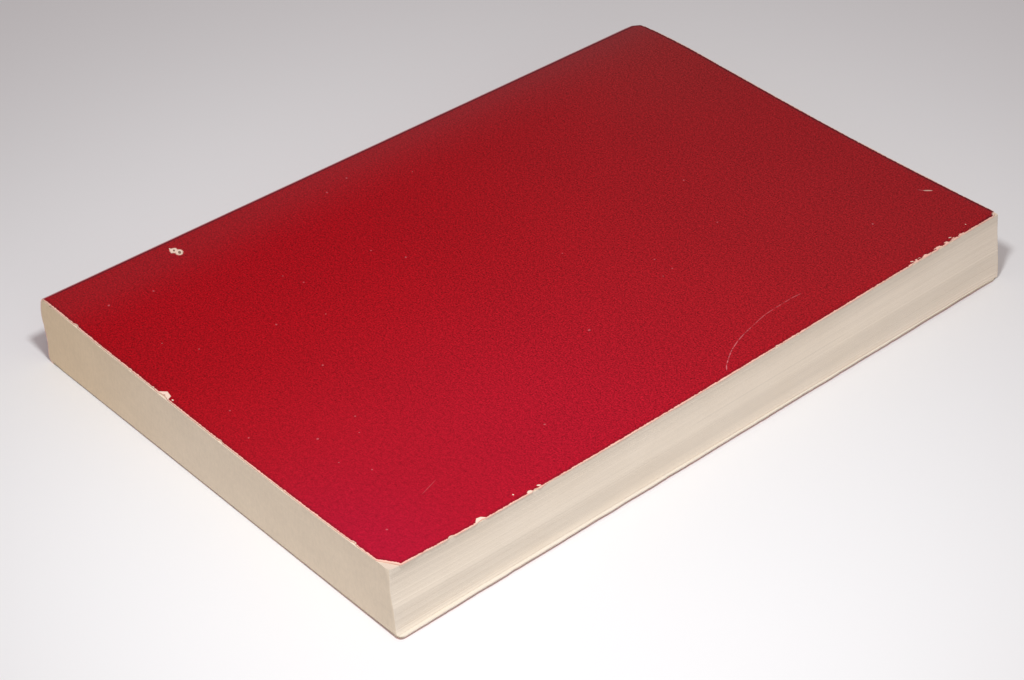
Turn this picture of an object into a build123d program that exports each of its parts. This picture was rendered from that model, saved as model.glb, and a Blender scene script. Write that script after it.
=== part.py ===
from build123d import *
from math import pi, sin
import os

# A worn paperback book that lies closed on its back cover. Millimetres.
# +X runs from the spine to the fore-edge, +Y from the tail to the head, +Z up.
# The origin is on the floor, under the middle of the book's outer box.

# The whole book
book_height = 178.0  # tail to head: covers and leaves are trimmed in one cut
book_thickness = 16.4  # floor to the front cover's outer face, beside the spine
back_cover_reach = 117.1  # spine's furthest point to the back cover's fore-edge
front_cover_reach = 114.4  # the same to the front cover's fore-edge: the book is cocked

# The wrap of thin card, one sheet folded round the spine
card = 0.35  # thickness of the card
leaf_gap = 0.3  # card to leaves all round; along the spine hot-melt glue fills it
top_fold_reach = 3.7  # spine's furthest point to the line where the front cover folds
back_fold_reach = 2.9  # the same to the line where the back cover folds

# Cross-section of the spine: it bulges above and is drawn in below. Heights are shares
# of the thickness, because a thinner book leans over in the same way.
foot_draw = 1.05  # how far the spine's foot lies in from its furthest point
foot_round = 1.5
waist_share = 0.37  # height where the spine is drawn in the most
waist_draw = 1.3
waist_round = 8.0
crown_low_share = 0.67  # the stretch that stands out furthest: from this height
crown_high_share = 0.78  # to this one
crown_round = 5.0
shoulder_draw = 0.7  # how far the top shoulder leans in
shoulder_round = 1.2

# The front cover sags between its edges and towards the middle of the fore-edge
panel_dip = 0.9  # how far the middle of the panel lies below its edges
dip_shift = 1.3  # above 1, the dip is deepest nearer to the fore-edge than to the spine
tail_corner_drop = 0.6  # how far the fore-edge lies below the fold at the tail,
middle_drop = 1.2  # half way up
head_corner_drop = -0.25  # and at the head, where its corner stands up a little
sag_skew = 0.77  # above 0, the fore-edge is lowest nearer to the tail than to the head

# The fore-edge of the leaves: upright above, slanting out below
front_overhang = 0.3  # front cover past the top leaf
back_ledge = 0.8  # back cover past the bottom leaf
slant_top_share = 0.52  # height where the slant starts, as a share of the thickness
slant_top_out = 0.75  # how far the leaves stand out there, past the top leaf
slant_foot_share = 0.3  # height where the slant ends
slant_foot_in = 0.35  # how far the leaves still lie in there, from the bottom leaf

# Wear at the corners and edges
tail_blunt_along = 3.0  # the front cover's tail corner is knocked off: along the tail
tail_blunt_up = 2.0  # and up the fore-edge
head_corner_round = 2.2  # front cover, head corner
back_corner_round = 1.3  # back cover, both free corners
leaf_corner_round = 1.1  # leaves, both corners at the fore-edge
tear_from_spine = 43.6  # tear in the front cover's tail edge
tear_width = 2.6
tear_depth = 1.0
nick_from_tail = 23.1  # first of two nicks in the front cover's fore-edge
nick_pitch = 13.9
nick_width = 1.6
nick_depth = 0.5

# Places that follow from the sizes above
spine_x = -back_cover_reach / 2
back_edge_x = back_cover_reach / 2
front_edge_x = spine_x + front_cover_reach
top_fold_x = spine_x + top_fold_reach
back_fold_x = spine_x + back_fold_reach
half_height = book_height / 2
leaf_inset = card + leaf_gap
past_everything = 2 * book_thickness  # cutting shapes run this far past the book
across_shares = (0, 0.15, 0.35, 0.55, 0.75, 0.9, 1)  # points of the front cover, fold to fore-edge
stations = (-1, -0.5, 0, 0.5, 1)  # and its lines, tail to head


def drop(across, along):
    """How far the front cover lies below its fold, across 0 to 1 and along -1 to 1."""
    tilt = (head_corner_drop - tail_corner_drop) / 2
    level = (head_corner_drop + tail_corner_drop) / 2
    at_fore_edge = middle_drop + (level - middle_drop) * along**2 + tilt * along
    at_fore_edge += sag_skew * (along**3 - along)
    return panel_dip * sin(pi * across**dip_shift) + at_fore_edge * across**2


def panel_line(along, depth):
    """The front cover's line across the book, moved down by depth."""
    width = front_edge_x - top_fold_x
    return [
        (top_fold_x + width * share, book_thickness - depth - drop(share, along))
        for share in across_shares
    ]


# Plane of the book's cross-section, at the tail; a section is drawn out towards the head
tail_plane = Plane.XZ.offset(half_height)

# The spine's outer line, from the back cover's fold round to the front cover's
with BuildLine() as outer_spine:
    FilletPolyline(
        (back_fold_x, 0),
        (spine_x + foot_draw, 0),
        (spine_x + waist_draw, waist_share * book_thickness),
        (spine_x, crown_low_share * book_thickness),
        (spine_x, crown_high_share * book_thickness),
        (spine_x + shoulder_draw, book_thickness),
        (top_fold_x, book_thickness),
        radius=[foot_round, waist_round, crown_round, crown_round, shoulder_round],
    )

# The same line further in: the inside of the card, and the backs of the leaves
with BuildLine() as card_inside:
    offset(outer_spine.line, amount=card, side=Side.RIGHT, closed=False)

with BuildLine() as leaf_backs:
    offset(outer_spine.line, amount=leaf_inset, side=Side.RIGHT, closed=False)

# Spine: the part of the wrap between its two folds
with BuildPart() as spine_panel:
    with BuildSketch(tail_plane):
        with BuildLine():
            add(outer_spine.line)
            add(card_inside.line)
            Line(outer_spine.line @ 0, card_inside.line @ 0)
            Line(outer_spine.line @ 1, card_inside.line @ 1)
        make_face()
    extrude(amount=-book_height)

# Glue: a film of hot melt that holds the backs of the leaves to the spine
with BuildPart() as spine_glue:
    with BuildSketch(tail_plane):
        with BuildLine():
            add(card_inside.line)
            add(leaf_backs.line)
            Line(card_inside.line @ 0, leaf_backs.line @ 0)
            Line(card_inside.line @ 1, leaf_backs.line @ 1)
        make_face()
    extrude(amount=-book_height)

# Leaves: all the pages as one block, with a slanting fore-edge and a sagging top
top_leaf_x = front_edge_x - front_overhang
bottom_leaf_x = back_edge_x - back_ledge

with BuildPart() as text_block:
    with BuildSketch(tail_plane):
        with BuildLine():
            add(leaf_backs.line)
            fore_line = Spline(
                (bottom_leaf_x, leaf_inset),
                (bottom_leaf_x - slant_foot_in, slant_foot_share * book_thickness),
                (top_leaf_x + slant_top_out, slant_top_share * book_thickness),
                (top_leaf_x, book_thickness - leaf_inset),
            )
            Line(leaf_backs.line @ 0, fore_line @ 0)
            Line(leaf_backs.line @ 1, fore_line @ 1)
        make_face()
    extrude(amount=-book_height)
    fore_edge_ends = text_block.faces().sort_by(Axis.X)[-1].edges().filter_by(GeomType.BSPLINE)
    fillet(fore_edge_ends, radius=leaf_corner_round)
    for along in stations:
        with BuildSketch(Plane.XZ.offset(-along * half_height)):
            with BuildLine():
                top_line = Spline(*panel_line(along, leaf_inset))
                Polyline(
                    top_line @ 1,
                    (back_edge_x + past_everything, (top_line @ 1).Y),
                    (back_edge_x + past_everything, -past_everything),
                    (spine_x - past_everything, -past_everything),
                    (spine_x - past_everything, book_thickness - leaf_inset),
                    top_line @ 0,
                )
            make_face()
    loft(mode=Mode.INTERSECT)

# Front cover: card with a sag, blunt corners, a tear and two nicks
with BuildPart() as front_cover:
    for along in stations:
        with BuildSketch(Plane.XZ.offset(-along * half_height)):
            with BuildLine():
                outer_line = Spline(*panel_line(along, 0))
                inner_line = Spline(*panel_line(along, card))
                Line(outer_line @ 0, inner_line @ 0)
                Line(outer_line @ 1, inner_line @ 1)
            make_face()
    loft()
    with BuildSketch() as front_plan:
        with BuildLine():
            Polyline(
                (top_fold_x, -half_height),
                (front_edge_x - tail_blunt_along, -half_height),
                (front_edge_x, -half_height + tail_blunt_up),
                (front_edge_x, half_height),
                (top_fold_x, half_height),
                close=True,
            )
        make_face()
        fillet(
            front_plan.vertices().group_by(Axis.Y)[-1].sort_by(Axis.X)[-1],
            radius=head_corner_round,
        )
        with BuildLine():
            Polyline(
                (spine_x + tear_from_spine - tear_width / 2, -half_height),
                (spine_x + tear_from_spine + tear_width / 4, -half_height + tear_depth),
                (spine_x + tear_from_spine + tear_width / 2, -half_height),
                close=True,
            )
        make_face(mode=Mode.SUBTRACT)
        for nick in range(2):
            nick_y = -half_height + nick_from_tail + nick * nick_pitch
            with BuildLine():
                Polyline(
                    (front_edge_x, nick_y - nick_width / 2),
                    (front_edge_x - nick_depth, nick_y),
                    (front_edge_x, nick_y + nick_width / 2),
                    close=True,
                )
            make_face(mode=Mode.SUBTRACT)
    extrude(amount=book_thickness + past_everything, mode=Mode.INTERSECT)

# Back cover: flat card on the floor, standing out past the leaves
with BuildSketch() as back_plan:
    with BuildLine():
        Polyline(
            (back_fold_x, -half_height),
            (back_edge_x, -half_height),
            (back_edge_x, half_height),
            (back_fold_x, half_height),
            close=True,
        )
    make_face()
    fillet(back_plan.vertices().sort_by(Axis.X)[-2:], radius=back_corner_round)

with BuildPart() as back_cover:
    add(back_plan.sketch)
    extrude(amount=card)

os.makedirs("parts", exist_ok=True)
spine_panel.part.label = "spine_panel"
export_step(spine_panel.part, "parts/spine_panel.step")
spine_glue.part.label = "spine_glue"
export_step(spine_glue.part, "parts/spine_glue.step")
text_block.part.label = "text_block"
export_step(text_block.part, "parts/text_block.step")
front_cover.part.label = "front_cover"
export_step(front_cover.part, "parts/front_cover.step")
back_cover.part.label = "back_cover"
export_step(back_cover.part, "parts/back_cover.step")
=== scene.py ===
from math import atan2, cos, degrees, hypot, pi, radians, sin, tan

import bmesh
import bpy
import numpy as np
from mathutils import Matrix, Vector


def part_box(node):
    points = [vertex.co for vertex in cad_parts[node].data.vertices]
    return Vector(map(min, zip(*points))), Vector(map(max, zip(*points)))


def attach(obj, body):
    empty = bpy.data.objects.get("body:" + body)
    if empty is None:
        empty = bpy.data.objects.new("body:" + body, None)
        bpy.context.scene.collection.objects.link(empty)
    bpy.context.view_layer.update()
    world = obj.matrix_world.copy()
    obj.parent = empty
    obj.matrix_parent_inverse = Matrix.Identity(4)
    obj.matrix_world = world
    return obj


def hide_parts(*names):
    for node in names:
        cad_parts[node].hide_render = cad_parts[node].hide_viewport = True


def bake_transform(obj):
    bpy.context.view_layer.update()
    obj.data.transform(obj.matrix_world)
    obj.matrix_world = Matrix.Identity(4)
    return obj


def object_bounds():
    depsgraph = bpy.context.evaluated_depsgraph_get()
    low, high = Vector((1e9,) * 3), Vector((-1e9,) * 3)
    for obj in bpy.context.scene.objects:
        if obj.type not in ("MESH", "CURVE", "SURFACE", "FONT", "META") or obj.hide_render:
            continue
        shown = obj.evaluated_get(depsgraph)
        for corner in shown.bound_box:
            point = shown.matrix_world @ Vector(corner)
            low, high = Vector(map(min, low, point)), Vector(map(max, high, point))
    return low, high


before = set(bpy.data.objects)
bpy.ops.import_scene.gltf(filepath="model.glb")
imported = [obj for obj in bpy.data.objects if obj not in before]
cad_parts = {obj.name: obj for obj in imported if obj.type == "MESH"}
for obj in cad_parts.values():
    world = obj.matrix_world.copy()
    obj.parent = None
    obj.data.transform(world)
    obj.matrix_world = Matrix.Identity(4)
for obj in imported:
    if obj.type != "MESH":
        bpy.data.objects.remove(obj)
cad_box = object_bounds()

# Leaf block. All the leaves of the book, a stack of aged, uncoated paper that was trimmed
# on three sides in one cut. It leans a little towards the spine at the top, and its top
# sags with the front cover. Lengths here and below are in millimetres.
MM = 0.001
book_thickness = 16.4
half_height = 89.0
card = 0.35
leaf_gap = 0.3
leaf_inset = card + leaf_gap
spine_x = cad_box[0][0] / MM
back_edge_x = cad_box[1][0] / MM
front_edge_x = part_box("front_cover")[1][0] / MM
top_fold_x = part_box("front_cover")[0][0] / MM
back_fold_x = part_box("back_cover")[0][0] / MM


def front_drop(x, y):
    """How far the front cover lies below its fold, at places given by arrays x and y."""
    across = np.clip((x - top_fold_x) / (front_edge_x - top_fold_x), 0, 1)
    along = np.clip(y / half_height, -1, 1)
    panel_dip, dip_shift = 0.9, 1.3
    tail_corner_drop, middle_drop, head_corner_drop, sag_skew = 0.6, 1.2, -0.25, 0.77
    tilt = (head_corner_drop - tail_corner_drop) / 2
    level = (head_corner_drop + tail_corner_drop) / 2
    at_fore_edge = middle_drop + (level - middle_drop) * along**2 + tilt * along
    at_fore_edge += sag_skew * (along**3 - along)
    tail_wave = np.interp(
        x,
        (top_fold_x, -45, -36, -22, -10, 5, 20, 35, 50, 56),
        (0, 0.15, 0.30, 0.12, 0.12, 0.05, -0.05, -0.20, -0.36, -0.60),
    )
    waves = tail_wave * np.clip((-60 - y) / 29, 0, 1) ** 2 + 0.2 * across * np.clip(
        (y - 50) / 39, 0, 1
    )
    return panel_dip * np.sin(pi * across**dip_shift) + at_fore_edge * across**2 + waves


def back_lift(x, y):
    """How far the back cover has curled up off the floor: most along its fore-edge, where
    only the corner at the head comes down, and a little along its tail edge."""
    edge_lift, curl_starts = 0.6, 10.0
    outwards = np.clip(x - curl_starts, 0, None) / (back_edge_x - curl_starts)
    corner_stays_down = np.where(y > 0, 1.0, 0.5) * np.abs(y / half_height) ** 24
    tail_lift = 0.18 * np.clip((-83 - y) / 6, 0, 1) ** 2 * np.clip((x - back_fold_x) / 30, 0, 1)
    return edge_lift * outwards**2 * (1 - corner_stays_down) + tail_lift


def knock(y, height):
    """How far the head corner of the spine's shoulder has been knocked in."""
    radius = 2.0
    past = np.clip(y - (half_height - radius), 0, radius)
    share = np.clip((height / book_thickness - 0.45) / 0.4, 0, 1)
    return (radius - np.sqrt(radius**2 - past**2)) * share * 0.75


def knocked_down(x, y):
    """How far the book's top has been knocked down at the same corner."""
    reach, depth = 6.0, 0.2
    away = np.hypot(x - spine_x, y - half_height)
    return depth * np.clip(1 - away / reach, 0, 1) ** 1.5


def head_wear(x, y):
    """How far the head edge has been worn in beside the spine, most at the corner."""
    reach, depth = 20.0, 1.35
    beside = np.clip(1 - (x - spine_x) / reach, 0, 1) ** 1.6
    return depth * beside * np.clip((y - 70) / 19, 0, 1) ** 2


def rounded_line(corners, radii, steps):
    """Points of a line through the corners, each inner corner turned by an arc, and the
    way inwards at each point."""
    corners = [Vector(corner) for corner in corners]
    points = [corners[0]]
    ways = [(corners[1] - corners[0]).normalized()]
    for before, corner, after, radius in zip(corners, corners[1:], corners[2:], radii):
        into = (corner - before).normalized()
        out = (after - corner).normalized()
        turn = atan2(into.x * out.y - into.y * out.x, into.dot(out))
        start = corner - into * radius * tan(abs(turn) / 2)
        side = Vector((-into.y, into.x)) * (1 if turn > 0 else -1)
        centre = start + side * radius
        for step in range(steps + 1):
            spin = Matrix.Rotation(turn * step / steps, 2)
            points.append(centre + spin @ (start - centre))
            ways.append(spin @ into)
    points.append(corners[-1])
    ways.append((corners[-1] - corners[-2]).normalized())
    return np.array(points), np.array([(way.y, -way.x) for way in ways])


spine_line, spine_inward = rounded_line(
    [
        (back_fold_x, 0),
        (spine_x + 1.05, 0),
        (spine_x + 1.3, 0.37 * book_thickness),
        (spine_x, 0.67 * book_thickness),
        (spine_x, 0.78 * book_thickness),
        (spine_x + 0.7, book_thickness),
        (top_fold_x, book_thickness),
    ],
    radii=[1.5, 8.0, 5.0, 5.0, 1.2],
    steps=6,
)


def corner_pull(in_x, in_y):
    """The share of in_x and in_y, the reach into a square corner, by which a point there
    moves back for the corner to be round."""
    reach = np.maximum(np.hypot(in_x, in_y), 1e-6)
    return np.where((in_x > 0) & (in_y > 0), np.maximum(in_x, in_y) / reach - 1, 0)


def deselect_all():
    """Operators act on all that is selected, so each piece starts with nothing selected."""
    bpy.ops.object.select_all(action="DESELECT")


def cut_across(axis, cuts):
    """In edit mode, divides every edge that runs along the axis, and the faces with it."""
    bpy.ops.mesh.select_mode(type="EDGE")
    bpy.ops.mesh.select_all(action="DESELECT")
    mesh = bmesh.from_edit_mesh(bpy.context.object.data)
    for edge in mesh.edges:
        way = (edge.verts[0].co - edge.verts[1].co).normalized()
        edge.select_set(abs(way[axis]) > 0.99)
    bmesh.update_edit_mesh(bpy.context.object.data)
    bpy.ops.mesh.subdivide(number_cuts=cuts)


def places_of(piece):
    """The places of the piece's vertices, as an array in millimetres."""
    places = np.zeros(len(piece.data.vertices) * 3)
    piece.data.vertices.foreach_get("co", places)
    return places.reshape(-1, 3) / MM


def put_places(piece, places):
    """Moves the piece's vertices to the places given, in millimetres."""
    piece.data.vertices.foreach_set("co", (places * MM).ravel())
    piece.data.update()


def keep_as_attribute(piece, name, places):
    """Stores places on the vertices, so that a pattern stays put when the piece bends."""
    attribute = piece.data.attributes.new(name, "FLOAT_VECTOR", "POINT")
    attribute.data.foreach_set("vector", places.astype(np.float32).ravel())


leaf_rows, leaf_cuts_along, leaf_cuts_across = 96, 90, 56
deselect_all()
bpy.ops.mesh.primitive_cube_add(
    size=MM,
    location=((spine_x + back_edge_x) / 2 * MM, 0, book_thickness / 2 * MM),
    scale=(back_edge_x - spine_x - 2 * leaf_inset, 2 * half_height, book_thickness - leaf_inset),
)
leaves = bpy.context.object
leaves.name = "leaf_block"
bpy.ops.object.transform_apply(location=True, rotation=False, scale=False)
bpy.ops.object.mode_set(mode="EDIT")
cut_across(2, leaf_rows - 1)
cut_across(1, leaf_cuts_along - 1)
cut_across(0, leaf_cuts_across - 1)
bpy.ops.object.mode_set(mode="OBJECT")

# Each row of vertices becomes a few leaves. Across, along and height run from 0 to 1.
block = places_of(leaves)
across, along, height = ((block - block.min(0)) / np.ptp(block, axis=0)).T
row = np.rint(height * leaf_rows).astype(int)
across = np.sin(pi / 2 * (2 * across - 1)) / 2 + 0.5
along = np.sin(pi / 2 * (2 * along - 1)) / 2 + 0.5
draw = np.random.default_rng(11)
leaf_step = draw.normal(0, 0.010, leaf_rows + 1)
section_step = np.repeat(draw.normal(0, 0.012, leaf_rows // 8 + 1), 8)[: leaf_rows + 1]
drift = draw.normal(0, 0.02, leaf_rows + 1)

flat_x = spine_x + leaf_inset + across * (back_edge_x - spine_x - 2 * leaf_inset)
y = (2 * along - 1) * half_height
beside_spine = np.clip((flat_x - top_fold_x) / 0.3, 0, 1)
cover_gap = 0.04
top = book_thickness - leaf_inset + beside_spine * (leaf_gap - cover_gap)
top = top - front_drop(flat_x, y) - knocked_down(flat_x, y)
bottom = leaf_inset - beside_spine * (leaf_gap - cover_gap) + back_lift(flat_x, y)
z = bottom + height * (top - bottom)
back_line = (spine_line + spine_inward * leaf_inset)[1:-1]
left = np.interp(z, back_line[:, 1], back_line[:, 0]) + knock(y, z)
tail_fore_edge = np.interp(
    z,
    (0.65, 1.0, 1.6, 3.0, 5.2, 6.5, 7.5, 8.5, 10.0, 12.0, 15.7),
    (57.95, 57.6, 57.3, 57.1, 56.85, 56.65, 56.42, 56.17, 55.9, 55.68, 55.55),
)
head_fore_edge = np.interp(
    z,
    (0.65, 1.6, 3.0, 4.7, 7.0, 9.8, 12.0, 14.5, 16.0),
    (58.15, 58.1, 57.95, 57.7, 57.25, 56.7, 56.3, 55.95, 55.75),
)
fore_edge = tail_fore_edge + along * (head_fore_edge - tail_fore_edge)
fore_edge += leaf_step[row] + section_step[row] + drift[row] * (2 * along - 1)
x = left + across * (fore_edge - left)

# The upright corners at the fore-edge are a little rounded, the knocked one more at the top
plain_round, crushed_round = 0.3, 0.8
crushed = np.clip((height - 0.7) / 0.3, 0, 1) ** 2 * (y < 0)
corner_round = plain_round + crushed_round * crushed
in_x = np.clip(corner_round - (fore_edge - x), 0, corner_round)
in_y = np.clip(corner_round - (half_height - np.abs(y)), 0, corner_round)
pull = corner_pull(in_x, in_y)
x += in_x * pull
y += in_y * pull * np.sign(y)

# The top corner at the tail is crushed, where the cover's corner is knocked off
crush_reach, crush_depth, ripple_depth = 5.0, 0.15, 0.05
from_corner = np.hypot(fore_edge - x, y + half_height)
crush = np.clip(1 - from_corner / crush_reach, 0, 1) ** 2 * height**6
z -= crush_depth * crush + ripple_depth * crush * np.sin(2.6 * (x - y))
knife_steps = 0.4 * np.abs(leaf_step[row])
y -= knife_steps * (np.abs(y) > half_height - 0.02) * np.sign(y)
y -= head_wear(x, y) * height
put_places(leaves, np.column_stack([x, y, z]))
keep_as_attribute(leaves, "leaf", np.column_stack([x, y, height * book_thickness]))


class Wire:
    """A shader socket that can be written into sums. Each operator adds a Math node."""

    def __init__(self, tree, socket):
        self.tree = tree
        self.socket = socket

    def sum_with(self, operation, *values):
        names = ("Value", "Value_001", "Value_002")
        math = add_node(
            self.tree, "ShaderNodeMath", {"operation": operation}, dict(zip(names, values))
        )
        return math.out("Value")

    def __add__(self, other):
        return self.sum_with("ADD", self, other)

    def __radd__(self, other):
        return self.sum_with("ADD", other, self)

    def __sub__(self, other):
        return self.sum_with("SUBTRACT", self, other)

    def __rsub__(self, other):
        return self.sum_with("SUBTRACT", other, self)

    def __mul__(self, other):
        return self.sum_with("MULTIPLY", self, other)

    def __rmul__(self, other):
        return self.sum_with("MULTIPLY", other, self)

    def __abs__(self):
        return self.sum_with("ABSOLUTE", self)

    def at_most(self, other):
        return self.sum_with("MINIMUM", self, other)

    def at_least(self, other):
        return self.sum_with("MAXIMUM", self, other)

    def fade(self, start, end):
        """0 at the start and 1 at the end, with a smooth change between them."""
        ramp = add_node(
            self.tree,
            "ShaderNodeMapRange",
            {"interpolation_type": "SMOOTHSTEP"},
            {"Value": self, "From Min": start, "From Max": end},
        )
        return ramp.out("Result")

    def line_at(self, place, half_width):
        """1 on a line at that place of this coordinate, and 0 half its width away."""
        return abs(self - place).fade(half_width, 0)


class Added:
    """A node that was added to a tree, with its outputs by their identifiers."""

    def __init__(self, tree, node):
        self.tree = tree
        self.node = node

    def out(self, identifier):
        socket = next(s for s in self.node.outputs if s.identifier == identifier)
        return Wire(self.tree, socket)


def add_node(tree, kind, settings, sockets):
    """Adds a node of any kind: its settings first, then its sockets' values or links."""
    node = tree.nodes.new(kind)
    for name, value in settings.items():
        setattr(node, name, value)
    for identifier, value in sockets.items():
        socket = next(s for s in node.inputs if s.identifier == identifier)
        if isinstance(value, Wire):
            tree.links.new(value.socket, socket)
        elif socket.type == "RGBA":
            socket.default_value = (*value, 1)
        else:
            socket.default_value = value
    return Added(tree, node)


class Finish:
    """A material in the making. Its place is in millimetres: an attribute that the piece
    keeps, or the object's own coordinates where it keeps none."""

    def __init__(self, name, attribute=None):
        self.material = bpy.data.materials.new(name)
        self.material.use_nodes = True
        self.tree = self.material.node_tree
        self.tree.nodes.clear()
        if attribute:
            source = self.add("ShaderNodeAttribute", {"attribute_name": attribute}, {})
            self.place = source.out("Vector")
        else:
            source = self.add("ShaderNodeTexCoord", {}, {}).out("Object")
            self.place = self.scaled(source, 1 / MM)
        parts = self.add("ShaderNodeSeparateXYZ", {}, {"Vector": self.place})
        self.x, self.y, self.z = (parts.out(axis) for axis in "XYZ")

    def add(self, kind, settings, sockets):
        return add_node(self.tree, kind, settings, sockets)

    def vector(self, operation, *vectors):
        """A Vector Math node, which works on one vector or on two."""
        sockets = dict(zip(("Vector", "Vector_001"), vectors))
        return self.add("ShaderNodeVectorMath", {"operation": operation}, sockets)

    def scaled(self, vector, amount):
        """A vector or colour times a number or a wire."""
        times = self.add(
            "ShaderNodeVectorMath", {"operation": "SCALE"}, {"Vector": vector, "Scale": amount}
        )
        return times.out("Vector")

    def noise(self, size, stretch=(1, 1, 1), detail=2.0, rough=0.5, seed=0.0):
        """Noise about 0.5, with features of that size in millimetres, made longer along
        an axis by stretch."""
        mapped = self.add(
            "ShaderNodeMapping",
            {"vector_type": "POINT"},
            {
                "Vector": self.place,
                "Location": (seed, 2 * seed, 3 * seed),
                "Scale": tuple(1 / (size * share) for share in stretch),
            },
        )
        texture = self.add(
            "ShaderNodeTexNoise",
            {"noise_dimensions": "3D"},
            {"Vector": mapped.out("Vector"), "Scale": 1.0, "Detail": detail, "Roughness": rough},
        )
        return texture.out("Fac")

    def mix(self, share, first, second):
        """The first colour where share is 0, the second where it is 1."""
        mixed = self.add(
            "ShaderNodeMix",
            {"data_type": "RGBA", "blend_type": "MIX", "clamp_factor": True},
            {"Factor_Float": share, "A_Color": first, "B_Color": second},
        )
        return mixed.out("Result_Color")

    def relief(self, height, depth, strength=1.0):
        """Bump from a height of 0 to 1 that stands for a depth in millimetres."""
        bump = self.add(
            "ShaderNodeBump",
            {},
            {"Height": height, "Distance": depth * MM, "Strength": strength},
        )
        return bump.out("Normal")

    def finish(self, sockets):
        """Ends the material with its surface shader."""
        surface = self.add("ShaderNodeBsdfPrincipled", {}, sockets)
        self.add("ShaderNodeOutputMaterial", {}, {"Surface": surface.out("BSDF")})
        return self.material


def fore_edge_finish():
    """Cut edges of the leaves at the fore-edge: fine lines that run the book's length."""
    look = Finish("fore_edge_paper", "leaf")
    leaf_lines = look.noise(0.2, stretch=(900, 300, 1), detail=3, rough=0.65)
    bundles = look.noise(1.1, stretch=(900, 120, 1), detail=2, seed=4)
    mottle = look.noise(8.0, stretch=(1, 1.8, 0.8), detail=3, seed=9)
    lines = 0.825 + 0.13 * leaf_lines + 0.08 * bundles + 0.08 * mottle
    # Painted shade: the top leaves are darker where the front cover overhangs them.
    painted_shade_under_cover = (1 - 0.08 * look.z.fade(13.2, 15.4)) * (1 - 0.08 * look.z.fade(15.9, 16.4))
    # A darker band across the lower leaves; below it a painted highlight makes the flared bottom
    # leaves lighter.
    band_and_painted_light = 1 - 0.055 * look.z.fade(6.9, 6.3) * look.z.fade(1.9, 3.3)
    band_and_painted_light = band_and_painted_light * (1 + 0.05 * look.z.fade(2.2, 1.0))
    # Painted light: the upper leaves are lighter towards the head.
    band_and_painted_light = band_and_painted_light * (1 + 0.03 * look.y.fade(-60, 50) * look.z.fade(15.0, 11.0))
    tail_half = look.y.fade(5, -15)
    dark_lines = (
        0.10 * look.z.line_at(12.9, 0.16) * tail_half
        + 0.10 * look.z.line_at(13.2, 0.16) * look.y.fade(40, 46) * look.y.fade(76, 70)
        + 0.10 * look.z.line_at(8.8, 0.16) * look.y.fade(-12, -6) * look.y.fade(40, 34)
        + 0.12 * look.z.line_at(0.75, 0.12) * look.y.fade(-50, -60)
    )
    toned = look.mix(look.noise(16.0, detail=2, seed=2), (0.80, 0.69, 0.56), (0.84, 0.745, 0.63))
    shade = lines * painted_shade_under_cover * band_and_painted_light * (1 - dark_lines)
    return look.finish(
        {
            "Base Color": look.scaled(toned, shade),
            "Roughness": 0.78 + 0.14 * bundles,
            "Specular IOR Level": 0.25,
            "Normal": look.relief(leaf_lines, 0.05, 0.8),
        }
    )


def trimmed_finish():
    """Tail and head, cut square across the leaves: close and smooth, and more toned."""
    look = Finish("trimmed_paper", "leaf")
    leaf_lines = look.noise(0.2, stretch=(200, 200, 1), detail=2, seed=5)
    knife = look.noise(0.8, stretch=(0.8, 1, 2.0), detail=3, rough=0.7, seed=7)
    mottle = look.noise(9.0, detail=3, seed=3)
    shade = 0.80 + 0.08 * leaf_lines + 0.20 * knife + 0.12 * mottle
    toned = look.mix(look.x.fade(-58.0, 0.0), (0.77, 0.610, 0.420), (0.785, 0.665, 0.520))
    return look.finish(
        {
            "Base Color": look.scaled(toned, shade),
            "Roughness": 0.82 + 0.08 * mottle,
            "Specular IOR Level": 0.25,
            "Normal": look.relief(knife, 0.02, 0.5),
        }
    )


def leaf_face_finish():
    """The face of the first and last leaf: bare paper, toned towards its edges."""
    look = Finish("leaf_face_paper", "leaf")
    fibre = look.noise(0.5, detail=4, rough=0.7)
    cloud = look.noise(25.0, detail=3, seed=6)
    from_edge = (55.0 - look.x).at_most(half_height - abs(look.y)).at_most(look.x + 57.0)
    rim = from_edge.fade(9.0, 0.0)
    toned = look.mix(rim * (0.4 + 0.8 * cloud), (0.84, 0.765, 0.65), (0.78, 0.66, 0.51))
    soiled = look.x.fade(51.5, 53.5) * look.y.fade(-85.5, -87.5)
    toned = look.mix(soiled, toned, (0.68, 0.55, 0.45))
    return look.finish(
        {
            "Base Color": look.scaled(toned, 0.95 + 0.06 * fibre + 0.05 * cloud),
            "Roughness": 0.85 + 0.05 * fibre,
            "Specular IOR Level": 0.25,
            "Normal": look.relief(fibre, 0.03, 0.4),
        }
    )


for finish in (fore_edge_finish(), trimmed_finish(), leaf_face_finish()):
    leaves.data.materials.append(finish)
for face in leaves.data.polygons:
    sizes = [abs(part) for part in face.normal]
    face.material_index = sizes.index(max(sizes))
bpy.ops.object.shade_smooth_by_angle(angle=radians(50))
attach(leaves, "block")
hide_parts("text_block")

# Spine. The narrow panel of the wrap, thin card that is printed and varnished red outside.
# It is folded round the backs of the leaves and glued to them; it bulges above, is drawn in
# below, and has gone grey and rubbed along its shoulder.
spine_lengths = np.concatenate([[0], np.cumsum(np.hypot(*np.diff(spine_line, axis=0).T))])
spine_wrap = spine_lengths[-1]


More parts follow.
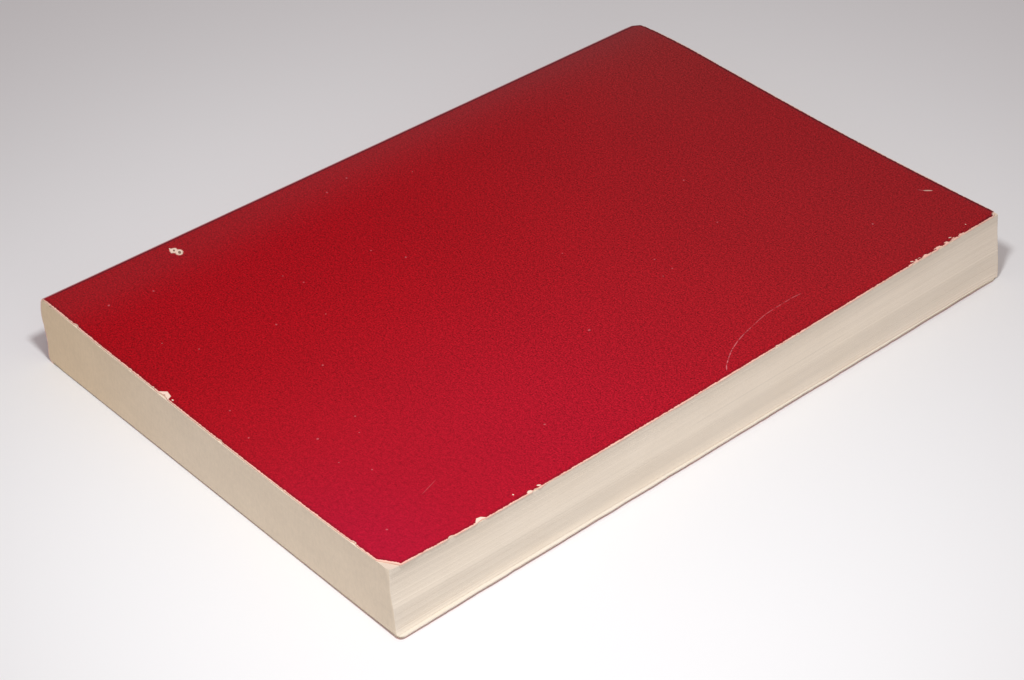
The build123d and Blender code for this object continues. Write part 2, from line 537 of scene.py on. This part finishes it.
def cut_side(start, end, step, chips, seed):
    """Points of one cut edge of a sheet: a little wavy, with chips out of it. Each chip has
    its place along the edge, its width and its depth."""
    start, end = np.array(start), np.array(end)
    length = hypot(*(end - start))
    way = (end - start) / length
    inward = np.array([-way[1], way[0]])
    draw = np.random.default_rng(seed)
    count = round(length / step)
    along = (np.arange(count) + draw.uniform(-0.3, 0.3, count) * (np.arange(count) > 0)) * step
    knots = np.arange(0, length + 4, 4)
    depth = np.interp(along, knots, draw.uniform(0, 0.15, len(knots)))
    depth = depth + draw.uniform(0, 0.06, count)
    axis = int(abs(way[1]) > 0.5)
    for place, width, chip_depth in chips:
        apart = np.abs(start[axis] + along * way[axis] - place)
        share = np.clip(1 - 2 * apart / width, 0, 1)
        depth = depth + chip_depth * share**0.6 * draw.uniform(0.8, 1.1, count)
    depth[0] = 0
    return start + np.outer(along, way) + np.outer(depth, inward)


def cut_sheet(name, outline):
    """A flat sheet with that outline, made from a disc pressed to it."""
    deselect_all()
    bpy.ops.mesh.primitive_circle_add(
        vertices=len(outline), radius=half_height * MM, fill_type="NGON"
    )
    sheet = bpy.context.object
    sheet.name = name
    put_places(sheet, np.column_stack([outline, np.zeros(len(outline))]))
    return sheet


def divide_sheet(x_lines, y_lines):
    """Divides the sheet along straight lines, so that it can bend."""
    bpy.ops.object.mode_set(mode="EDIT")
    for x in x_lines:
        bpy.ops.mesh.select_all(action="SELECT")
        bpy.ops.mesh.bisect(plane_co=(x * MM, 0, 0), plane_no=(1, 0, 0), threshold=1e-7)
    for y in y_lines:
        bpy.ops.mesh.select_all(action="SELECT")
        bpy.ops.mesh.bisect(plane_co=(0, y * MM, 0), plane_no=(0, 1, 0), threshold=1e-7)
    bpy.ops.object.mode_set(mode="OBJECT")


def turn_over():
    """Turns the sheet's faces the other way."""
    bpy.ops.object.mode_set(mode="EDIT")
    bpy.ops.mesh.select_all(action="SELECT")
    bpy.ops.mesh.flip_normals()
    bpy.ops.object.mode_set(mode="OBJECT")


def give_thickness(sheet, thickness, finishes):
    """Thickens the sheet behind its outer face. Three finishes are for the outer face, the
    inner face and the cut edge."""
    for finish in finishes:
        sheet.data.materials.append(finish)
    thicken = sheet.modifiers.new("thickness", "SOLIDIFY")
    thicken.thickness = thickness * MM
    thicken.offset = -1
    thicken.use_even_offset = True
    thicken.material_offset = 1
    thicken.material_offset_rim = 2
    bpy.ops.object.modifier_apply(modifier="thickness")
    places = places_of(sheet)
    places[:, 1] = np.clip(places[:, 1], -half_height, half_height)
    put_places(sheet, places)


def soften_edges(sheet, is_seam):
    """Rubs the arrises of the cut edges round, except where is_seam says two panels meet."""
    bpy.ops.object.mode_set(mode="EDIT")
    bpy.ops.mesh.select_mode(type="EDGE")
    bpy.ops.mesh.select_all(action="DESELECT")
    mesh = bmesh.from_edit_mesh(sheet.data)
    for edge in mesh.edges:
        slots = {face.material_index for face in edge.link_faces}
        middle = (edge.verts[0].co + edge.verts[1].co) / 2 / MM
        edge.select_set(len(slots) > 1 and 2 in slots and not is_seam(middle))
    bmesh.update_edit_mesh(sheet.data)
    rub = 0.07
    bpy.ops.mesh.bevel(offset=rub * MM, segments=2, affect="EDGES", clamp_overlap=True)
    bpy.ops.object.mode_set(mode="OBJECT")
    bpy.ops.object.shade_smooth_by_angle(angle=radians(40))


def wrap_spine(sheet, depth):
    """Folds a flat sheet round the spine. Its x is the length from the back cover's fold,
    and depth is how far it lies inside the spine's outer line."""
    flat = places_of(sheet)
    line = spine_line + spine_inward * depth
    x = np.interp(flat[:, 0], spine_lengths, line[:, 0])
    z = np.interp(flat[:, 0], spine_lengths, line[:, 1])
    down = knocked_down(x, flat[:, 1]) * (z / book_thickness) ** 4
    y = flat[:, 1] - head_wear(x, flat[:, 1]) * z / book_thickness
    put_places(sheet, np.column_stack([x + knock(flat[:, 1], z), y, z - down]))


def ovals(look, spots, ragged=None):
    """1 inside any of the ovals, 0 outside them all. Each has its middle's x and y, its
    length and width, and the degrees that it is turned by. They use no Mapping nodes, which
    the renderer works out first and has room for only about 80 of in one material."""
    nearest = None
    for x, y, length, width, turn in spots:
        from_middle = look.vector("SUBTRACT", look.place, (x, y, 0)).out("Vector")
        turned = look.add(
            "ShaderNodeVectorRotate",
            {"rotation_type": "Z_AXIS"},
            {"Vector": from_middle, "Angle": -radians(turn)},
        )
        half_sizes = (length / 2, width / 2, 1)
        in_halves = look.vector("DIVIDE", turned.out("Vector"), half_sizes).out("Vector")
        away = look.vector("LENGTH", in_halves).out("Value")
        nearest = away if nearest is None else nearest.at_most(away)
    if ragged is not None:
        nearest = nearest + ragged
    return nearest.fade(1.25, 0.8)


def scratch(look, points, width):
    """1 on a thin scratch through the points, 0 off it."""
    overlap = 1.15
    strokes = []
    for (x0, y0), (x1, y1) in zip(points, points[1:]):
        length = hypot(x1 - x0, y1 - y0) * overlap
        turn = degrees(atan2(y1 - y0, x1 - x0))
        strokes.append(((x0 + x1) / 2, (y0 + y1) / 2, length, width, turn))
    return ovals(look, strokes)


def print_finish(name, edge_distance, marks=None, wear_and_sheen=None, seam_line=None):
    """The wrap's printed red, varnished and handled. Edge_distance gives the distance to the
    nearest cut edge, marks the bare places, wear_and_sheen a share of grey rubbing and painted
    sheen, and seam_line a dark line of painted crease shade and a pale one of rubbed print along a
    fold."""
    look = Finish(name, "sheet")
    grain = look.noise(0.36, detail=2, rough=0.7)
    speckle = look.noise(1.0, detail=3, rough=0.7, seed=13)
    cloud = look.noise(24.0, detail=3, seed=5)
    crumble = look.noise(0.8, detail=4, rough=0.7, seed=21)
    red = look.mix(look.x.fade(-40, 35), (0.345, 0.0018, 0.0065), (0.378, 0.0056, 0.0125))
    # Painted sheen: towards the near corner, under the lamp, the red turns pinker.
    pink_and_painted_sheen = 0.45 * look.x.fade(-15, 55) * look.y.fade(45, -45)
    pink_and_painted_sheen = pink_and_painted_sheen + 0.55 * look.x.fade(10, 50) * look.y.fade(-60, -92)
    red = look.mix(pink_and_painted_sheen, red, (0.405, 0.0055, 0.0270))
    # Painted shade: the red is darker and browner towards the head, away from the lamp.
    painted_far_shade = look.y.fade(-40, 95)
    red = look.mix(painted_far_shade, red, (0.320, 0.0105, 0.0145))
    # Painted sheen and shade: beside the spine and towards the head the red is darker and greyer.
    painted_sheen_and_shade_by_spine = look.x.fade(0, -56) * look.y.fade(35, 92)
    red = look.mix(0.8 * painted_sheen_and_shade_by_spine, red, (0.310, 0.0210, 0.0220))
    coarse = 2.9 - 1.9 * look.x.fade(-40, 45) * look.y.fade(-10, -80)
    red = look.scaled(red, coarse * (grain - 0.5) + 0.8 * speckle + 0.12 * cloud + 0.55)
    # Grey rubbing; beside the fold on the front cover and the spine also painted sheen.
    if wear_and_sheen is not None:
        red = look.mix(wear_and_sheen(look) * (0.55 + 0.9 * speckle), red, (0.20, 0.055, 0.062))

    # Pinholes in the print, and the bare core along the cut edges
    cells = look.add(
        "ShaderNodeTexVoronoi",
        {"feature": "F1"},
        {"Vector": look.scaled(look.place, 0.14), "Scale": 1.0, "Randomness": 1.0},
    )
    pick = look.add("ShaderNodeSeparateXYZ", {}, {"Vector": cells.out("Color")}).out("X")
    pinholes = cells.out("Distance").fade(0.021, 0.012) * pick.fade(0.62, 0.70)
    distance = edge_distance(look) + 0.7 * (crumble - 0.5)
    dark_rim = distance.fade(0.95, 0.55) * distance.fade(0.1, 0.4)
    bare = distance.fade(0.28, 0.16)
    at_head = look.y.fade(80, 88)
    red = look.mix((0.35 + 0.5 * at_head) * dark_rim, red, (0.10, 0.006, 0.012))
    red = look.mix(0.5 * pinholes, red, (0.62, 0.30, 0.28))
    if seam_line is not None:
        painted_crease_shade, pale_line = seam_line(look)
        red = look.mix(painted_crease_shade, red, (0.060, 0.012, 0.020))
        red = look.mix(pale_line, red, (0.66, 0.36, 0.38))
    rim_core = look.mix(crumble, (0.97, 0.60, 0.48), (0.95, 0.52, 0.42))
    if marks is None:
        colour = look.mix(bare, red, rim_core)
    else:
        chips, centres, scuffs = marks(look, crumble - 0.5)
        red = look.mix(0.6 * scuffs, red, (0.66, 0.20, 0.22))
        colour = look.mix(bare, red, rim_core)
        chip_core = look.mix(crumble, (0.90, 0.70, 0.56), (0.86, 0.64, 0.52))
        colour = look.mix(chips, colour, chip_core)
        colour = look.mix(0.85 * centres, colour, (0.16, 0.075, 0.045))
        bare = bare.at_least(chips)
    return look.finish(
        {
            "Base Color": colour,
            "Roughness": 0.42 + 0.12 * speckle + 0.3 * bare,
            "Specular IOR Level": 0.05,
            "Normal": look.relief(0.12 * grain + 0.06 * speckle - bare, 0.06, 0.7),
        }
    )


def card_inside_finish():
    """The wrap's inner face: unprinted greyish-cream board."""
    look = Finish("card_inside", "sheet")
    fibre = look.noise(0.4, detail=4, rough=0.7)
    cloud = look.noise(18.0, detail=3, seed=8)
    rim = (front_edge_x - look.x).at_most(half_height - abs(look.y)).fade(6.0, 0.0)
    toned = look.mix(rim * cloud, (0.82, 0.765, 0.67), (0.76, 0.66, 0.52))
    return look.finish(
        {
            "Base Color": look.scaled(toned, 0.94 + 0.06 * fibre + 0.05 * cloud),
            "Roughness": 0.75 + 0.1 * fibre,
            "Specular IOR Level": 0.3,
            "Normal": look.relief(fibre, 0.03, 0.5),
        }
    )


def card_edge_finish():
    """The cut edge of the card: its pale core, with a trace of red from the print."""
    look = Finish("card_cut_edge", "sheet")
    fibre = look.noise(0.3, detail=4, rough=0.7)
    stain = look.noise(2.5, detail=3, seed=17)
    pink_and_painted_sheen = look.mix(stain.fade(0.40, 0.65), (0.95, 0.66, 0.53), (0.93, 0.56, 0.45))
    return look.finish(
        {
            "Base Color": look.scaled(pink_and_painted_sheen, 0.90 + 0.12 * fibre),
            "Roughness": 0.85 + 0.1 * fibre,
            "Specular IOR Level": 0.2,
            "Normal": look.relief(fibre, 0.04, 0.6),
        }
    )


crest_x = top_fold_x - 2.84


def fold_rubbing_and_painted_sheen(look):
    """Beside the fold both panels are greyed, more towards the head: partly rubbed print, partly
    painted sheen of a surface turning down to the spine.
    """
    wide = look.x.fade(top_fold_x + 16.0, top_fold_x + 4.0)
    narrow = look.x.fade(top_fold_x + 6.0, top_fold_x - 1.5) * look.y.fade(-90, 60)
    beyond = look.x.fade(top_fold_x + 10.0, top_fold_x + 1.0)
    return 0.08 * wide + 0.05 * beyond + 0.14 * narrow


def shoulder_lines(look):
    """Along the crest of the shoulder the print is rubbed through, beside a dark line of painted
    crease shade near the tail.
    """
    broken = look.noise(2.2, stretch=(1, 4, 1), detail=3, seed=71)
    # Painted shade: a dark line in the crease near the tail.
    dark = look.x.line_at(crest_x + 0.92, 0.5) * look.y.fade(-89.5, -84)
    pale = look.x.fade(crest_x + 0.72, crest_x + 0.5) * look.x.fade(crest_x - 0.8, crest_x - 0.2)
    return 0.65 * dark, pale * (0.35 + 0.9 * broken).at_most(1)


def spine_rubbing_and_painted_sheen(look):
    """The spine's shoulder is grey from rubbing and painted sheen, its foot is rubbed grey, and the
    rest of it a little.
    """
    shoulder = fold_rubbing_and_painted_sheen(look) * look.x.fade(crest_x - 2.5, crest_x)
    foot = look.x.line_at(top_fold_x - spine_wrap + 2.0, 1.8)
    creases = look.noise(1.1, stretch=(0.5, 60, 1), detail=3, seed=31).fade(0.56, 0.72)
    below = look.x.fade(crest_x + 0.2, crest_x - 0.6)
    worn = (0.8 * foot).at_least(0.7 * creases).at_least(0.10) * below
    return shoulder.at_least(worn)


card_inside = card_inside_finish()
card_edge = card_edge_finish()
spine_outline = np.concatenate(
    [
        cut_side((0, -half_height), (spine_wrap, -half_height), 0.4, [(17.5, 1.6, 0.25)], 3),
        [(spine_wrap, -half_height), (spine_wrap, half_height)],
        cut_side((spine_wrap, half_height), (0, half_height), 0.4, [], 4)[1:],
        [(0, half_height)],
    ]
)
spine = cut_sheet("spine_wrap", spine_outline)
divide_sheet(np.linspace(0, spine_wrap, 62)[1:-1], np.arange(-87.6, 88, 1.6))
flat = places_of(spine)
spine_places = np.column_stack([flat[:, 0] - spine_wrap + top_fold_x, flat[:, 1], 0 * flat[:, 0]])
keep_as_attribute(spine, "sheet", spine_places)
wrap_spine(spine, depth=0)
spine_print = print_finish(
    "spine_print",
    lambda look: half_height - abs(look.y),
    wear_and_sheen=spine_rubbing_and_painted_sheen,
    seam_line=shoulder_lines,
)
give_thickness(spine, card, [spine_print, card_inside, card_edge])
soften_edges(spine, lambda place: abs(place.y) < half_height - 0.5)
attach(spine, "block")
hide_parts("spine_panel")

# Spine glue. A film of hot-melt glue that was run onto the milled backs of the leaves and
# pressed against the spine. Only its ends show, as a thin line at the tail and the head.
glue_corners = [(0, -1), (spine_wrap, -1), (spine_wrap, 1), (0, 1)]
glue = cut_sheet("glue_film", np.array(glue_corners) * (1, half_height))
divide_sheet(np.linspace(0, spine_wrap, 40)[1:-1], np.linspace(-half_height, half_height, 60)[1:-1])
flat = places_of(glue)
ends = np.abs(flat[:, 1]) > half_height - 0.01
flat[:, 1] -= np.sign(flat[:, 1]) * ends * np.random.default_rng(6).uniform(0.0, 0.06, len(flat))
put_places(glue, flat)
wrap_spine(glue, depth=card)


def glue_finish():
    """Old hot-melt glue: waxy, yellowed and a little cloudy."""
    look = Finish("spine_glue_wax")
    cloud = look.noise(3.0, detail=3)
    dirt = look.noise(0.6, detail=3, seed=4)
    colour = look.mix(cloud, (0.66, 0.52, 0.35), (0.78, 0.66, 0.48))
    return look.finish(
        {
            "Base Color": look.scaled(colour, 0.85 + 0.3 * dirt),
            "Roughness": 0.45 + 0.2 * cloud,
            "Normal": look.relief(cloud, 0.05, 0.4),
        }
    )


give_thickness(glue, leaf_gap, [glue_finish()])
bpy.ops.object.shade_smooth_by_angle(angle=radians(40))
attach(glue, "block")
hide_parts("spine_glue")

# Front cover. The wrap's upper panel, cut with the leaves in one trim, so its cut edges
# show the pale core. It bends along the fold, sags between its edges, and is chipped,
# scuffed and knocked off at its tail corner.
fold_bend = 2.5
tail_chips = [
    (-45.2, 1.2, 0.35),
    (-36.6, 0.9, 0.2),
    (-25.9, 0.9, 0.2),
    (-18.3, 0.9, 0.2),
    (-14.9, 3.0, 0.4),
    (3.9, 1.2, 0.3),
    (23.6, 1.0, 0.15),
    (45.0, 1.4, 0.4),
]
fore_edge_chips = [
    (-73.7, 1.8, 0.35),
    (-65.9, 2.6, 0.35),
    (-52.0, 1.6, 0.45),
    (-47.8, 6.0, 0.2),
    (16.6, 1.4, 0.25),
    (22.9, 0.9, 0.25),
    (60.3, 1.6, 0.3),
    (62.9, 2.0, 0.3),
    (66.4, 1.6, 0.2),
    (69.1, 2.0, 0.3),
    (72.8, 2.2, 0.25),
    (76.5, 1.6, 0.2),
]
head_chips = [(45.0, 2.0, 0.15), (12.0, 1.4, 0.12), (-30.0, 1.6, 0.15), (-53.1, 1.2, 0.25)]
tail, head = -half_height, half_height
front_outline = np.concatenate(
    [
        cut_side((top_fold_x, tail), (front_edge_x, tail), 0.42, tail_chips, 7),
        cut_side((front_edge_x, tail), (front_edge_x, head), 0.42, fore_edge_chips, 8),
        cut_side((front_edge_x, head), (top_fold_x, head), 0.42, head_chips, 9),
        [(top_fold_x, head)],
    ]
)

# The tail corner is knocked off along a slanting line, the head corner is rounded
blunt_from = Vector((51.8, tail))
blunt_to = Vector((front_edge_x - 0.15, -86.4))
blunt_way = (blunt_to - blunt_from).normalized()
blunt_out = np.array([blunt_way.y, -blunt_way.x])
past_blunt = np.clip((front_outline - np.array(blunt_from)) @ blunt_out, 0, None)
front_outline -= np.outer(past_blunt, blunt_out)
head_round = 2.2
in_x = np.clip(front_outline[:, 0] - (front_edge_x - head_round), 0, head_round)
in_y = np.clip(front_outline[:, 1] - (head - head_round), 0, head_round)
pull = corner_pull(in_x, in_y)
front_outline += np.column_stack([in_x * pull, in_y * pull])

front = cut_sheet("front_cover_card", front_outline)
fold_lines = np.arange(top_fold_x + 0.25, top_fold_x + fold_bend + 0.3, 0.25)
divide_sheet(
    np.concatenate([fold_lines, np.arange(fold_lines[-1] + 1.2, front_edge_x - 1.4, 1.7)]),
    np.arange(tail + 1.7, head - 1.5, 1.7),
)
flat = places_of(front)
keep_as_attribute(front, "sheet", flat)
flat[:, 2] = book_thickness - front_drop(flat[:, 0], flat[:, 1])
flat[:, 2] -= knocked_down(flat[:, 0], flat[:, 1])
flat[:, 1] -= head_wear(flat[:, 0], flat[:, 1])
put_places(front, flat)


def front_edge_distance(look):
    """The distance to the front cover's cut edges, and to its blunt corner, where the print
    is worn off further. Near the head the print has flaked off the fore-edge."""
    flaking = look.y.fade(57.5, 61) * look.y.fade(82, 76)
    flakes = look.noise(0.8, stretch=(1, 3, 1), detail=3, rough=0.7, seed=61)
    square = (front_edge_x - 0.05 - look.x - 0.55 * flakes.fade(0.46, 0.58) * flaking).at_most(
        half_height - 0.05 - abs(look.y)
    )
    worn_back = 0.12
    offset = blunt_from.x * blunt_out[0] + blunt_from.y * blunt_out[1] - worn_back
    return square.at_most(offset - look.x * blunt_out[0] - look.y * blunt_out[1])


def facet(look, corners):
    """1 inside a shape with straight sides, its corners given anticlockwise, 0 outside."""
    inside = None
    for (x0, y0), (x1, y1) in zip(corners, corners[1:] + corners[:1]):
        length = hypot(x1 - x0, y1 - y0)
        across_x, across_y = (y0 - y1) / length, (x1 - x0) / length
        past_side = across_x * look.x + across_y * look.y - (across_x * x0 + across_y * y0)
        inside = past_side if inside is None else inside.at_most(past_side)
    return inside.fade(-0.03, 0.06)


def front_marks(look, crumble):
    """The marks on the front cover: its bare chips, their dark centres, and its scuffs."""
    chips = [
        # the double chip beside the spine, with its little tail
        (-53.35, -57.6, 1.9, 1.65, -36),
        (-52.05, -57.05, 2.0, 1.55, -35),
        (-54.2, -57.9, 0.9, 0.35, -8),
        # tail edge
        (-45.2, -88.9, 1.4, 0.9, 0),
        (-36.6, -88.95, 0.8, 0.5, 0),
        (-25.9, -88.95, 0.9, 0.6, 0),
        (-18.3, -88.9, 0.8, 0.6, 0),
        (-12.4, -88.25, 0.5, 0.35, 0),
        (3.9, -89.0, 1.5, 0.8, 0),
        (45.0, -89.0, 1.5, 1.0, 0),
        # fore-edge
        (55.9, -73.7, 1.1, 1.6, 0),
        (55.15, -50.7, 0.8, 0.45, 60),
        (55.5, -53.4, 0.8, 1.2, 0),
        (53.98, -56.35, 0.4, 0.3, 0),
        (55.9, 16.6, 0.9, 1.2, 0),
        (54.95, 60.3, 0.8, 0.35, 60),
        (54.6, 73.5, 0.7, 0.25, 70),
        (53.6, 80.1, 0.3, 0.25, 0),
        (55.9, 88.5, 2.7, 2.2, -30),
    ]
    bare = ovals(look, chips, ragged=0.9 * crumble)
    # two flakes of card that came off with straight sides: the tear and a nick
    tear = [(-16.9, -89.3), (-12.9, -89.3), (-13.6, -87.75), (-15.25, -87.4), (-16.3, -88.5)]
    nick = [(56.1, -67.4), (56.1, -64.3), (54.8, -65.5), (54.6, -66.5), (55.4, -67.4)]
    bare = bare.at_least(facet(look, tear)).at_least(facet(look, nick))
    bare = bare.at_least(0.6 * scratch(look, [(38.3, 84.15), (39.5, 85.4)], 0.42))
    double_chip = [(-53.35, -57.55, 0.75, 0.45, -30), (-52.0, -57.05, 1.1, 0.65, -30)]
    in_tear = [(-14.9, -88.6, 0.7, 0.35, 30)]
    centres = ovals(look, double_chip).at_least(0.8 * ovals(look, in_tear))

    arc_points = [(54.15, 2.99), (53.03, 4.1), (51.24, 6.82), (50.11, 8.85), (48.87, 11.9),
                  (48.06, 14.7), (47.5, 17.4), (46.9, 20.2), (46.45, 22.8), (46.3, 25.5),
                  (46.25, 28.6), (46.2, 31.2), (46.45, 33.7)]
    broken = look.noise(0.9, detail=3, seed=41).fade(0.42, 0.52)
    fading = 0.55 + 0.45 * look.y.fade(18, 6)
    scuffs = 1.3 * scratch(look, arc_points, 0.21) * (0.25 + 0.75 * broken) * fading
    strokes = [
        ([(37.2, 83.4), (38.4, 84.2)], 0.22, 0.6),
        ([(42.24, -69.1), (40.9, -65.0)], 0.2, 0.3),
    ]
    for points, width, strength in strokes:
        scuffs = scuffs.at_least(strength * scratch(look, points, width))
    specks = [
        (-0.9, 46.6, 0.6), (15.7, 40.3, 0.5), (39.4, 65.3, 0.7), (16.5, 19.8, 0.5),
        (21.4, 20.3, 0.5), (22.1, 16.8, 0.4), (1.7, 6.2, 0.4), (25.4, -8.5, 0.8),
        (-50.8, -11.3, 0.6), (-49.2, -18.3, 0.6), (-19.2, -20.8, 0.6), (-25.9, -25.0, 0.5),
        (-18.5, -57.0, 0.6), (-1.7, -58.2, 0.6), (15.3, -63.7, 0.5), (19.8, -66.4, 0.4),
        (16.0, -73.9, 0.7), (30.3, -71.9, 0.5), (24.4, -75.4, 0.4), (46.1, -81.5, 0.6),
        (-2.3, -81.6, 0.5), (6.9, -84.0, 0.5), (-46.3, -79.7, 0.7), (-44.3, -69.6, 0.6),
        (-26.3, -43.4, 0.5), (-30.9, -45.4, 0.4), (42.1, -36.9, 0.6),
    ]
    dusty = ovals(look, [(x, y, 0.8 * size, 0.65 * size, 40 * x) for x, y, size in specks])
    return bare, centres, scuffs.at_least(0.65 * dusty)


front_print = print_finish("front_print", front_edge_distance, front_marks, fold_rubbing_and_painted_sheen)
give_thickness(front, card, [front_print, card_inside, card_edge])
soften_edges(front, lambda place: place.x < top_fold_x + 0.1)
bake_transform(front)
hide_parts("front_cover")

# Back cover. The wrap's lower panel, which the book lies on. It stands out past the leaves
# at the fore-edge, because the book is cocked, and its edge has curled up off the floor.
back_chips = [(-60.0, 2.0, 0.15), (10.0, 1.5, 0.1), (52.0, 2.4, 0.12)]
back_outline = np.concatenate(
    [
        cut_side((back_fold_x, tail), (back_edge_x, tail), 0.6, [(30.0, 2.0, 0.2)], 17),
        cut_side((back_edge_x, tail), (back_edge_x, head), 0.6, back_chips, 18),
        cut_side((back_edge_x, head), (back_fold_x, head), 0.6, [(20.0, 2.0, 0.2)], 19),
        [(back_fold_x, head)],
    ]
)

# Both corners at the fore-edge are rounded, the one at the head more
tail_round, head_round = 1.3, 2.2
back_round = np.where(back_outline[:, 1] > 0, head_round, tail_round)
in_x = np.clip(back_outline[:, 0] - (back_edge_x - back_round), 0, back_round)
in_y = np.clip(np.abs(back_outline[:, 1]) - (head - back_round), 0, back_round)
pull = corner_pull(in_x, in_y)
back_outline += np.column_stack([in_x * pull, in_y * pull * np.sign(back_outline[:, 1])])

back = cut_sheet("back_cover_card", back_outline)
fold_lines = np.arange(back_fold_x + 0.25, back_fold_x + fold_bend + 0.3, 0.25)
divide_sheet(
    np.concatenate([fold_lines, np.arange(fold_lines[-1] + 1.2, back_edge_x - 1.4, 2.2)]),
    np.arange(tail + 1.7, head - 1.5, 2.2),
)
flat = places_of(back)
keep_as_attribute(back, "sheet", flat)
flat[:, 2] = back_lift(flat[:, 0], flat[:, 1])
put_places(back, flat)
turn_over()


def soiled_edge_and_painted_shade_finish():
    """The back cover's cut edge: pale and soiled in patches, darker along the tail edge, and darker
    tan towards the head as painted shade.
    """
    look = Finish("soiled_cut_edge_and_painted_shade", "sheet")
    fibre = look.noise(0.3, detail=4, rough=0.7)
    dirt = look.noise(5.0, detail=3, seed=27)
    toned = look.mix(dirt.fade(0.4, 0.65), (0.80, 0.73, 0.63), (0.70, 0.63, 0.53))
    # Painted shade: the edge is darker tan towards the head.
    toned = look.mix(look.y.fade(35, 80), toned, (0.60, 0.52, 0.40))
    # Darker along the tail edge.
    toned = look.mix(look.y.fade(-87.6, -88.6), toned, (0.52, 0.44, 0.34))
    return look.finish(
        {
            "Base Color": look.scaled(toned, 0.85 + 0.3 * fibre),
            "Roughness": 0.85 + 0.1 * fibre,
            "Specular IOR Level": 0.2,
            "Normal": look.relief(fibre, 0.04, 0.6),
        }
    )


def back_edge_distance(look):
    """The distance to the back cover's cut edges, where the table has worn the print off."""
    worn_back = 0.6
    square = (back_edge_x - 0.05 - look.x).at_most(half_height - 0.05 - abs(look.y))
    return square - worn_back


def back_rubbing(look):
    """The back cover is rubbed by the table it lay on, in patches and along the fold."""
    patches = look.noise(14.0, detail=4, rough=0.6, seed=51).fade(0.58, 0.75)
    strip = look.x.fade(back_fold_x + 5.5, back_fold_x - 0.5)
    return (0.35 * patches).at_least(0.6 * strip)


back_print = print_finish("back_print", back_edge_distance, wear_and_sheen=back_rubbing)
give_thickness(back, card, [back_print, card_inside, soiled_edge_and_painted_shade_finish()])
soften_edges(back, lambda place: place.x < back_fold_x + 0.1)
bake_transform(back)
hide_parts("back_cover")

# Table. Plain white board under the book, which the photographer's lamp lights unevenly.
# It isn't part of the book.
deselect_all()
bpy.ops.mesh.primitive_plane_add(size=6.0, location=(0, 0, 0))
table = bpy.context.object
table.name = "table"
board = Finish("white_board")
tint = board.noise(60.0, detail=2)
table.data.materials.append(
    board.finish(
        {
            "Base Color": board.mix(tint, (0.865, 0.855, 0.858), (0.855, 0.848, 0.85)),
            "Roughness": 0.9,
            "Specular IOR Level": 0.0,
        }
    )
)

# Light. One lamp with a soft-edged beam close above the near corner, a wide dim one beside
# the camera that reaches the two sides in view, and an even fill from the room.
bpy.ops.object.light_add(type="SPOT", location=(0.0985, -0.109, 0.2836))
lamp = bpy.context.object
lamp.name = "lamp"
lamp.data.shadow_soft_size = 0.022
lamp.data.spot_size = radians(88.5)
lamp.data.spot_blend = 1.0
lamp.data.energy = 2.36
lamp.data.color = (1.0, 1.035, 1.045)
lamp.rotation_euler = Vector((-0.191, 0.267, -1.0)).to_track_quat("-Z", "Y").to_euler()
bpy.ops.object.light_add(type="AREA", location=(1.02, -0.55, 0.31))
side_lamp = bpy.context.object
side_lamp.name = "side_lamp"
side_lamp.data.shape = "DISK"
side_lamp.data.size = 0.6
side_lamp.data.energy = 1.2
side_lamp.rotation_euler = Vector(side_lamp.location).to_track_quat("Z", "Y").to_euler()
room = bpy.data.worlds.new("room")
room.use_nodes = True
room.node_tree.nodes.clear()
fill = add_node(
    room.node_tree, "ShaderNodeBackground", {}, {"Color": (1.0, 0.925, 0.935), "Strength": 0.444}
)
add_node(room.node_tree, "ShaderNodeOutputWorld", {}, {"Surface": fill.out("Background")})
bpy.context.scene.world = room

# Camera. Above and to the right of the near corner, as in the photograph, with a long lens.
azimuth, elevation, roll = radians(46.769), radians(37.003), radians(-1.164)
behind = Vector((sin(azimuth) * cos(elevation), -cos(azimuth) * cos(elevation), sin(elevation)))
level_right = (-behind).cross(Vector((0, 0, 1))).normalized()
level_up = behind.cross(level_right)
right = cos(roll) * level_right - sin(roll) * level_up
up = sin(roll) * level_right + cos(roll) * level_up
bpy.ops.object.camera_add(location=(0.32597, -0.31318, 0.33423))
camera = bpy.context.object
camera.rotation_euler = Matrix((right, up, behind)).transposed().to_euler()
camera.data.lens = 89.61
camera.data.sensor_width = 36.0
camera.data.clip_start = 0.01
bpy.context.scene.camera = camera
bpy.context.scene.view_settings.view_transform = "Standard"
